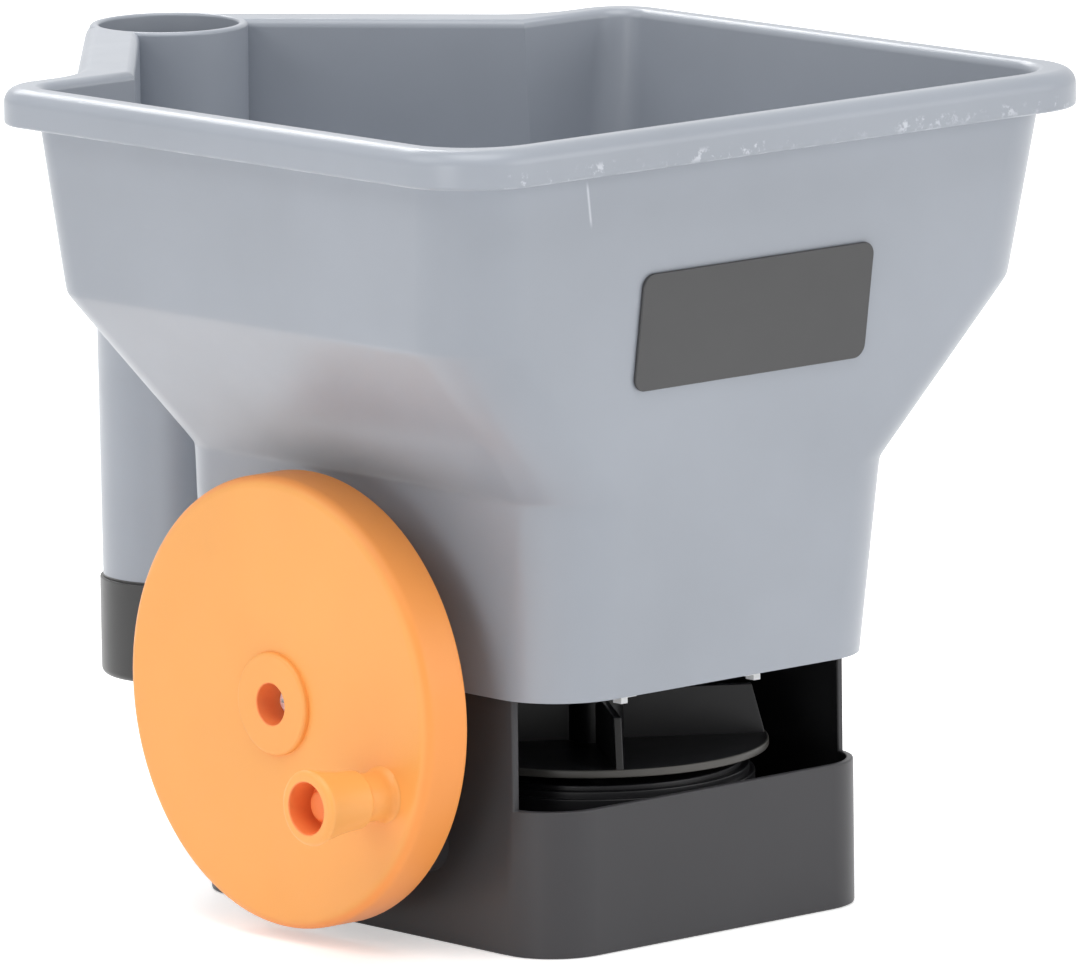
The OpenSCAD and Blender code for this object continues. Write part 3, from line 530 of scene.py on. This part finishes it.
def quarter_round(r, z, radius, steps=5):
    """Quarter circle of a profile, from beside its middle to above it. Below 0 it turns inwards."""
    turns = [math.pi / 2.0 * k / steps for k in range(steps + 1)]
    return [(r + radius * math.cos(t), z + abs(radius) * math.sin(t)) for t in turns]


def upright_edges(bm, places):
    """Vertical edges that stand at the given plan points."""
    found = []
    for e in bm.edges:
        a, b = e.verts
        if abs(a.co.x - b.co.x) + abs(a.co.y - b.co.y) < SAME_LINE:
            if any(math.hypot(a.co.x - x, a.co.y - y) < SAME_PLACE for x, y in places):
                found.append(e)
    return found


def level_edges(bm, z):
    """Edges that lie at a height."""
    return [e for e in bm.edges if all(abs(v.co.z - z) < SAME_PLACE for v in e.verts)]


# Hopper

# The last point of a quarter stays just short of 90 degrees, so that it isn't counted to the next quarter
QUARTER_END, QUARTER_LIMIT = 89.9999, 89.999
BEND_LEVELS = (-7, -3.5, -2, -1.3, -0.8, -0.4, -0.15, 0.15, 0.4, 0.8, 1.3, 2, 3.5, 7)
PLAIN_LEVELS = [90.0, 135.0, 180.0]


def funnel_side(z):
    """Half width of the hopper's outside at a height, with a soft crease and bend."""
    crease_x = LOW_X + LOW_DRAFT * (CREASE_Z - HOPPER_Z)
    bend_x = RIM_X - RIM_BAND - TOP_DRAFT * (RIM_LOW - BEND_Z)
    slope = (bend_x - crease_x) / (BEND_Z - CREASE_Z)

    def soft(t):
        return (t + math.hypot(t, CREASE_SOFT)) / 2.0

    return (LOW_X + LOW_DRAFT * (z - HOPPER_Z) + (slope - LOW_DRAFT) * soft(z - CREASE_Z)
            - (slope - TOP_DRAFT) * soft(z - BEND_Z))


def funnel_level(z, inset):
    """Size of the hopper's plan at a height: half width, front, rear and the two corner radii."""
    rise = (z - HOPPER_Z) / (RIM_LOW - HOPPER_Z)
    front = LOW_FRONT + (RIM_FRONT - RIM_BAND - LOW_FRONT) * rise
    rear = LOW_REAR + (RIM_REAR - RIM_BAND - LOW_REAR) * rise
    above = max(0.0, z - CREASE_Z) / (RIM_LOW - CREASE_Z)
    rear_r = CORNER_LOW_R + (CORNER_REAR_R - CORNER_LOW_R) * above
    return z, funnel_side(z) - inset, front - inset, rear - inset, CORNER_R - inset, rear_r - inset


def place_ring(ring, around, level):
    """Moves the points of a ring to the rounded plan of a level, each by its angle around."""
    z, half, front, rear, front_r, rear_r = level
    for v in ring:
        quarter, turn = divmod(v[around], 90.0)
        r = rear_r if quarter < 2 else front_r
        a = math.radians(v[around])
        if quarter == 3 and turn > QUARTER_LIMIT:
            a = math.radians(360.0)
        x = (half - r) * (1.0 if quarter in (0, 3) else -1.0)
        y = rear - r if quarter < 2 else r - front
        v.co = (x + r * math.cos(a), y + r * math.sin(a), z)


def funnel(levels):
    """Closed solid through rounded plans, from the lowest to the highest."""
    bm = bmesh.new()
    around = bm.verts.layers.float.new("around")
    count = 4 * (CORNER_STEPS + 1)
    ring = bmesh.ops.create_circle(bm, segments=count, radius=1.0)["verts"]
    for v in ring:
        step = round(math.degrees(math.atan2(v.co.y, v.co.x)) % 360.0 / 360.0 * count) % count
        quarter, place = divmod(step, CORNER_STEPS + 1)
        v[around] = quarter * 90.0 + min(QUARTER_END, place * 90.0 / CORNER_STEPS)
    place_ring(ring, around, levels[0])
    rim = bm.edges[:]
    bmesh.ops.holes_fill(bm, edges=rim, sides=0)
    for level in levels[1:]:
        made = bmesh.ops.extrude_edge_only(bm, edges=rim)["geom"]
        ring = new_verts(made)
        held = set(ring)
        rim = [g for g in made if isinstance(g, bmesh.types.BMEdge) and held.issuperset(g.verts)]
        place_ring(ring, around, level)
    bmesh.ops.holes_fill(bm, edges=rim, sides=0)
    bmesh.ops.recalc_face_normals(bm, faces=bm.faces)
    return bm


def wall_heights(low, high):
    """Heights close together at the crease and the bend, and wide apart between them."""
    levels = [z + t for z in (CREASE_Z, BEND_Z) for t in BEND_LEVELS] + PLAIN_LEVELS
    return [low] + sorted(levels) + [high]


def rim_band():
    """Rim with the two slanted runs to the handle tube, its corners and its upper edge rounded."""
    reach = TUBE_R + TUBE_BAND
    bend = [math.pi / 2.0 + POCKET_ANGLE * (k / TUBE_STEPS - 1.0) for k in range(2 * TUBE_STEPS + 1)]
    tube = [(reach * math.cos(a), TUBE_Y + reach * math.sin(a)) for a in bend]
    plan = ([(RIM_X, -RIM_FRONT), (RIM_X, RIM_REAR), (POCKET_X, RIM_REAR)] + tube
            + [(-POCKET_X, RIM_REAR), (-RIM_X, RIM_REAR), (-RIM_X, -RIM_FRONT)])
    bm = prism(plan, RIM_LOW, RIM_Z)
    for x, y, radius, steps in ((RIM_X, -RIM_FRONT, RIM_FRONT_R, CORNER_STEPS),
                                (RIM_X, RIM_REAR, RIM_REAR_R, CORNER_STEPS),
                                (POCKET_X, RIM_REAR, RIM_RUN_R, RUN_STEPS)):
        round_edges(bm, upright_edges(bm, [(-x, y), (x, y)]), radius, steps)
    round_edges(bm, level_edges(bm, RIM_Z), RIM_EDGE, EDGE_STEPS)
    round_edges(bm, level_edges(bm, RIM_LOW), RIM_LOW_EDGE, LOW_EDGE_STEPS)
    return bm


def pocket(inset, top):
    """Space behind the hopper, between the slanted walls, over a floor that slopes up to the tube."""
    reach = POCKET_BAND - WALL + inset
    foot = POCKET_X - reach / math.sin(POCKET_ANGLE)
    far = foot - (TUBE_Y - RIM_REAR) / math.tan(POCKET_ANGLE)
    near = foot + (RIM_REAR - POCKET_START) / math.tan(POCKET_ANGLE)
    low = POCKET_FLOOR + inset * math.hypot(1.0, POCKET_RISE)
    bm = prism([(near, POCKET_START), (far, TUBE_Y), (-far, TUBE_Y), (-near, POCKET_START)], low, top)
    for v in bm.verts:
        if v.co.z < top - LAP:
            v.co.z += POCKET_RISE * (v.co.y - LOW_REAR)
    return bm


def rails_and_bosses(solid, side):
    """Hooked rail of the gate and two screw bosses on one side, under the hopper's floor."""
    root = FLOOR_Z + LAP
    rail_end, tip_end = RAIL_IN + RAIL_T, RAIL_FRONT + RAIL_TIP
    web = (RAIL_IN, rail_end, RAIL_REAR, RAIL_LOW, root)
    hook = (RAIL_IN - RAIL_HOOK, RAIL_IN + HOOK_LAP, RAIL_REAR, RAIL_LOW, HOOK_TOP)
    tip = (RAIL_IN, rail_end, tip_end, RAIL_TIP_LOW, RAIL_LOW + LAP)
    for near, far, rear, low, top in (web, hook, tip):
        left, right = sorted((side * near, side * far))
        solid = add(solid, box_solid((left, RAIL_FRONT, low), (right, rear, top)))
    for y in BOSS_YS:
        solid = add(solid, upright(side * BOSS_X, y, BOSS_LOW, root, BOSS_R, BOSS_SIDES))
        hole = upright(side * BOSS_X, y, BOSS_LOW - LAP, BOSS_HOLE_TOP, BOSS_HOLE_R, BOSS_HOLE_SIDES)
        solid = take(solid, hole)
    return solid


def under_floor(solid):
    """Rails, screw bosses, outlet, spindle hole and gate slot at the hopper's floor."""
    for side in (-1.0, 1.0):
        solid = rails_and_bosses(solid, side)
    under, over = FLOOR_Z - LAP, FLOOR_Z + FLOOR_T + LAP
    solid = take(solid, box_solid((-OUTLET_X, OUTLET_Y[0], under), (OUTLET_X, OUTLET_Y[1], over)))
    solid = take(solid, upright(0.0, SPIN_Y, under, over, SEAL_R, SEAL_SIDES))
    near, far = RAIL_REAR - GATE_SLOT, RAIL_REAR + GATE_SLOT
    return take(solid, box_solid((-RAIL_IN, near, HOPPER_Z - LAP), (RAIL_IN, far, FLOOR_Z)))


def handle_tube():
    """Tapered handle tube with a rounded upper edge."""
    lip = quarter_round(TUBE_R - TUBE_LIP, RIM_Z - TUBE_LIP, TUBE_LIP)
    return turned([(0.0, TUBE_Z), (TUBE_R - TUBE_TAPER, TUBE_Z)] + lip + [(0.0, RIM_Z)], 0.0, TUBE_Y)


def handle_bore():
    """Hollow of the handle tube, flared at its mouth."""
    bore_r = TUBE_R - TUBE_WALL
    low, high = TUBE_Z - LAP, RIM_Z + LAP
    flare = quarter_round(bore_r + MOUTH_EDGE, RIM_Z - MOUTH_EDGE, -MOUTH_EDGE)
    ends = [(bore_r + MOUTH_EDGE, high), (0.0, high)]
    return turned([(0.0, low), (bore_r - TUBE_TAPER, low)] + flare + ends, 0.0, TUBE_Y)


def hopper_piece():
    """Drafted funnel with its rim, rear pocket, floor fittings and handle tube, in one moulding."""
    above_rim = RIM_Z + LAP
    solid = funnel([funnel_level(z, 0.0) for z in wall_heights(HOPPER_Z, RIM_LOW + FUNNEL_LAP)])
    solid = add(solid, pocket(0.0, RIM_LOW + LAP))
    solid = add(solid, rim_band())
    solid = take(solid, funnel([funnel_level(z, WALL) for z in wall_heights(FLOOR_Z + FLOOR_T, above_rim)]))
    solid = take(solid, pocket(WALL, above_rim))
    solid = take(solid, funnel([funnel_level(z, WALL) for z in (HOPPER_Z - LAP, FLOOR_Z)]))
    solid = under_floor(solid)
    inner = [e for e in level_edges(solid, RIM_Z)
             if len(e.link_faces) == 2 and e.calc_face_angle() > RIM_ANGLE]
    round_edges(solid, inner, INNER_EDGE, EDGE_STEPS)
    solid = add(solid, handle_tube())
    solid = take(solid, handle_bore())
    bmesh.ops.scale(solid, vec=(mm(1.0), mm(1.0), mm(1.0)), verts=solid.verts)
    finished(solid, "hopper_shell", "hopper")


# Wear and a scratch on the rim, then painted light, painted shade and painted highlights, laid onto the
# materials.
for mark in (worn_rim, painted_light_rail_tips, painted_cap_seam_shadow, front_scratch):
    mark(FINISH["hopper_grey"])
painted_shade_base_inside(FINISH["base_black"])
painted_highlight_spinner(FINISH["spinner_black"])
painted_shade_orange(FINISH["crank_orange"])
hopper_piece()
softened("base_housing", "base_shell", 0.5)
softened("crank_disc", "crank_wheel", 0.4)
softened("crank_knob", "crank_grip", 0.3)
softened("handle_end_cap", "handle_cap", 0.4)
softened("badge_plate", "bare_badge", 0.3)
softened("spinner", "spinner_wheel", 0.35)
softened("gear_drum", "gearbox_drum", 0.4)
softened("gate_slide", "flow_gate", 0.4)


# Studio, in metres. The floor lies a hair below the ground, clear of the base's bottom face.

WHITE = (1.0, 1.0, 1.0, 1.0)
FLOOR_SIZE, FLOOR_GAP = 4.0, mm(0.1)
FLOOR_PALE, FLOOR_ROUGH, FLOOR_LIFT = (0.92, 0.92, 0.92, 1.0), 0.5, 0.48
WORLD_LIGHT, WORLD_SEEN = 0.28, 1.0
OVERHEAD_AIM, OVERHEAD_STRENGTH, OVERHEAD_ANGLE = (0.12, 0.22, -1.0), 1.9, math.radians(50.0)

# Softboxes: place, the point they face, width and height, watts
SOFTBOXES = {
    "right_softbox": ((0.9, -1.9, 0.7), (0.0, 0.0, 0.1), (1.4, 0.9), 11.5),
    "left_softbox": ((-1.5, 0.6, 1.45), (0.0, 0.0, 0.1), (1.4, 0.9), 8.6),
    "left_fill": ((-2.1, -0.7, 0.25), (0.0, 0.0, 0.05), (0.8, 0.6), 6.6),
    "rear_softbox": ((0.6, 1.7, 1.5), (0.0, 0.0, 0.2), (1.2, 0.5), 15.0),
}

# The photograph's camera. The focal length, the shifts and the width are in the photograph's pixels.
CAMERA_AZIMUTH, CAMERA_ELEVATION, CAMERA_ROLL = math.radians(41.65), math.radians(9.84), math.radians(-0.75)
CAMERA_DISTANCE, CAMERA_REACH = 3.270, 50.0
CAMERA_TARGET = (0.0, mm(-4.3), mm(100.0))
FOCAL_PIXELS, PHOTO_WIDE, SHIFT_X, SHIFT_Y = 12978.0, 1080.0, 1.8, 23.6
SENSOR_WIDE = 36.0


def stand(name, data):
    """Object for a lamp, a camera or a mesh, in the scene."""
    thing = bpy.data.objects.new(name, data)
    bpy.context.collection.objects.link(thing)
    return thing


def facing(direction):
    """Turn of a lamp that shines along a direction."""
    return direction.to_track_quat("-Z", "Y").to_euler()


def seen_rays(tree):
    """1 for the rays that show the backdrop: camera, glossy and transmission."""
    path = tree.nodes.new("ShaderNodeLightPath")
    straight = maths(tree, "MAXIMUM", path.outputs["Is Camera Ray"], path.outputs["Is Transmission Ray"])
    return maths(tree, "MAXIMUM", straight, path.outputs["Is Glossy Ray"])


def floor():
    """Pale floor, lifted to white where it is seen and not in the light that it gives back."""
    bm = bmesh.new()
    bmesh.ops.create_grid(bm, x_segments=1, y_segments=1, size=FLOOR_SIZE)
    bmesh.ops.translate(bm, vec=(0.0, 0.0, -FLOOR_GAP), verts=bm.verts)
    mesh = bpy.data.meshes.new("studio_floor")
    bm.to_mesh(mesh)
    bm.free()
    sheet = stand("studio_floor", mesh)
    mat, tree, shader = new_material("pale_floor")
    shader.inputs["Base Color"].default_value = FLOOR_PALE
    shader.inputs["Roughness"].default_value = FLOOR_ROUGH
    shader.inputs["Emission Color"].default_value = WHITE
    tree.links.new(spread(tree, seen_rays(tree), 0.0, FLOOR_LIFT), shader.inputs["Emission Strength"])
    mesh.materials.append(mat)


def white_world():
    """Even pale light from all round, with a white backdrop where it is seen."""
    world = bpy.data.worlds.new("white_studio")
    bpy.context.scene.world = world
    world.use_nodes = True
    tree = world.node_tree
    back = tree.nodes["Background"]
    back.inputs["Color"].default_value = WHITE
    tree.links.new(spread(tree, seen_rays(tree), WORLD_LIGHT, WORLD_SEEN), back.inputs["Strength"])


def overhead_light():
    """Wide even light from above, which keeps the floor pale all over."""
    lamp = bpy.data.lights.new("overhead_light", "SUN")
    lamp.energy = OVERHEAD_STRENGTH
    lamp.angle = OVERHEAD_ANGLE
    stand("overhead_light", lamp).rotation_euler = facing(Vector(OVERHEAD_AIM))


def softbox(name, place, aim, size, watts):
    """Flat lamp that faces a point."""
    lamp = bpy.data.lights.new(name, "AREA")
    lamp.shape = "RECTANGLE"
    lamp.size, lamp.size_y = size
    lamp.energy = watts
    thing = stand(name, lamp)
    thing.location = place
    thing.rotation_euler = facing(Vector(aim) - Vector(place))


def photo_camera():
    """Long lens at the photograph's place."""
    level = math.cos(CAMERA_ELEVATION)
    back = Vector((-math.sin(CAMERA_AZIMUTH) * level, -math.cos(CAMERA_AZIMUTH) * level,
                   math.sin(CAMERA_ELEVATION)))
    right = Vector((math.cos(CAMERA_AZIMUTH), -math.sin(CAMERA_AZIMUTH), 0.0))
    up = back.cross(right)
    turned_right = right * math.cos(CAMERA_ROLL) + up * math.sin(CAMERA_ROLL)
    turned_up = up * math.cos(CAMERA_ROLL) - right * math.sin(CAMERA_ROLL)
    lens = bpy.data.cameras.new("photo_camera")
    lens.sensor_width = SENSOR_WIDE
    lens.lens = FOCAL_PIXELS / PHOTO_WIDE * SENSOR_WIDE
    lens.shift_x = SHIFT_X / PHOTO_WIDE
    lens.shift_y = SHIFT_Y / PHOTO_WIDE
    lens.clip_end = CAMERA_REACH
    eye = stand("photo_camera", lens)
    place = Vector(CAMERA_TARGET) + back * CAMERA_DISTANCE
    turn = Matrix((turned_right, turned_up, back)).transposed().to_4x4()
    eye.matrix_world = Matrix.Translation(place) @ turn
    bpy.context.scene.camera = eye


floor()
white_world()
overhead_light()
for lamp_name, setting in SOFTBOXES.items():
    softbox(lamp_name, *setting)
photo_camera()
bpy.context.scene.view_settings.view_transform = "Standard"
